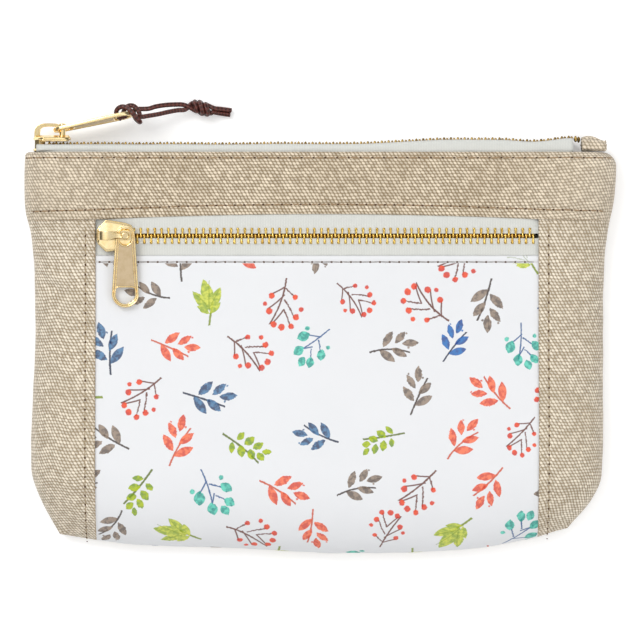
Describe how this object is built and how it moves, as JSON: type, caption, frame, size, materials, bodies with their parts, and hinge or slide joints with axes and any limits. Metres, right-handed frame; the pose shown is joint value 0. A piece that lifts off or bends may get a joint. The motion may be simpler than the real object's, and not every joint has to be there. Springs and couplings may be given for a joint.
{
  "type": "zippered pouch",
  "caption": "Flat canvas pouch with a printed front pocket panel, a zipped mouth, a zipped front pocket and metal pulls, one with a cord.",
  "frame": {"origin": "middle of the back face, on the surface that the pouch lies on", "axes": "+X to the right along both zips, +Y to the zipped mouth, +Z out of the front"},
  "size_m": [0.223, 0.171, 0.0232],
  "materials": {
    "canvas": "coarse plain-woven beige canvas",
    "printed_cotton": "white cotton with a small scattered print of sprigs",
    "lining_cloth": "thin plain lining",
    "zip_tape": "woven zip tape",
    "zip_teeth": "polished",
    "gold_metal": "light gold plating, polished",
    "waxed_cord": "dark brown waxed braid"
  },
  "bodies": {
    "pouch": {"back_panel": "canvas", "back_top_band": "canvas", "front_top_band": "canvas", "front_side_panel_left": "canvas", "front_side_panel_right": "canvas", "front_pocket_panel": "printed_cotton", "pocket_wall": "lining_cloth", "lining_front": "lining_cloth", "lining_back": "lining_cloth", "front_zip_tape_upper": "zip_tape", "front_zip_tape_lower": "zip_tape", "front_zip_teeth_upper": "zip_teeth", "front_zip_teeth_lower": "zip_teeth", "mouth_zip_tape_front": "zip_tape", "mouth_zip_tape_back": "zip_tape", "mouth_zip_teeth_front": "zip_teeth", "mouth_zip_teeth_back": "zip_teeth", "zip_end_tab": "canvas"},
    "front_slider": {"front_slider_body": "gold_metal", "front_slider_bridge": "gold_metal"},
    "front_pull": {"front_pull": "gold_metal"},
    "mouth_slider": {"mouth_slider_body": "gold_metal", "mouth_slider_bridge": "gold_metal"},
    "mouth_pull": {"mouth_pull": "gold_metal", "cord_hitch": "waxed_cord", "cord_strands": "waxed_cord", "cord_end_knot": "waxed_cord", "cord_tails": "waxed_cord"}
  },
  "joints": [
    {"name": "mouth_slider_travel", "type": "slide", "parent": "pouch", "child": "mouth_slider", "axis": [1, 0, 0], "range_m": [0, 0.19], "deforming": ["mouth_zip_tape_front", "mouth_zip_tape_back", "mouth_zip_teeth_front", "mouth_zip_teeth_back"]},
    {"name": "mouth_pull_swing", "type": "hinge", "parent": "mouth_slider", "child": "mouth_pull", "pos_m": [-0.09945, 0.08375, 0.008], "axis": [0, 0, 1], "range_deg": [-6, 120]},
    {"name": "front_slider_travel", "type": "slide", "parent": "pouch", "child": "front_slider", "axis": [1, 0, 0], "range_m": [0, 0.146], "deforming": ["front_zip_tape_upper", "front_zip_tape_lower", "front_zip_teeth_upper", "front_zip_teeth_lower"]},
    {"name": "front_pull_swing", "type": "hinge", "parent": "front_slider", "child": "front_pull", "pos_m": [-0.0728, 0.0439, 0.0206], "axis": [0, 0, 1], "range_deg": [0, 180]}
  ]
}
